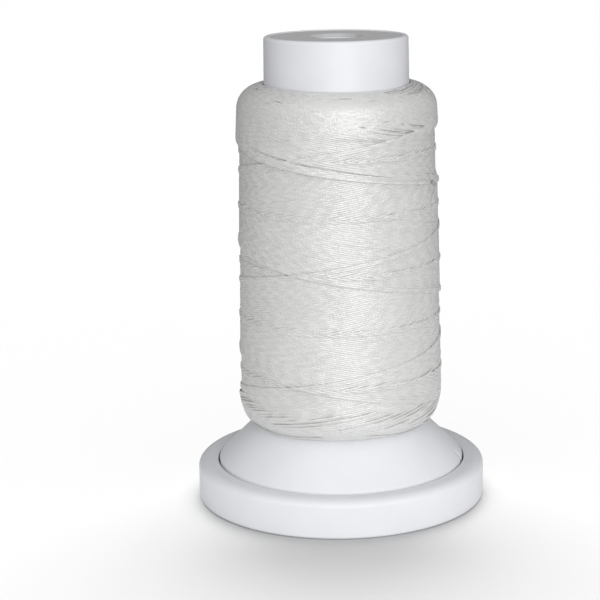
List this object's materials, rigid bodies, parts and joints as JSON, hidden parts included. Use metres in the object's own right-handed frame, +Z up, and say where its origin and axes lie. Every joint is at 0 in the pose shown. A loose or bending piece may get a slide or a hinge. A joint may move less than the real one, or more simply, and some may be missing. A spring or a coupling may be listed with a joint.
{
  "type": "sewing thread spool",
  "caption": "Moulded mini king spool wound with sewing thread, on a round snap base that opens a gap under the spool's skirt to hold the thread end.",
  "frame": {"origin": "centre of the base's foot ring, on the surface that the spool stands on", "axes": "+Z up the spool's axis from the base to the head; +X to the right and +Y away from the picture's camera, with the skirt's nick 11 degrees from +X towards -Y"},
  "size_m": [0.05, 0.05, 0.08],
  "materials": {
    "white_plastic": "satin moulded polypropylene, slightly translucent",
    "nylon_thread": "lustrous cross-wound filament thread",
    "label_paper": "plain uncoated paper"
  },
  "bodies": {
    "base": {"snap_base": "white_plastic"},
    "spool": {"barrel": "white_plastic", "thread_package": "nylon_thread", "top_label": "label_paper"}
  },
  "joints": [
    {"name": "snap_open", "type": "slide", "parent": "base", "child": "spool", "axis": [0, 0, 1], "range_m": [0, 0.0025]}
  ]
}
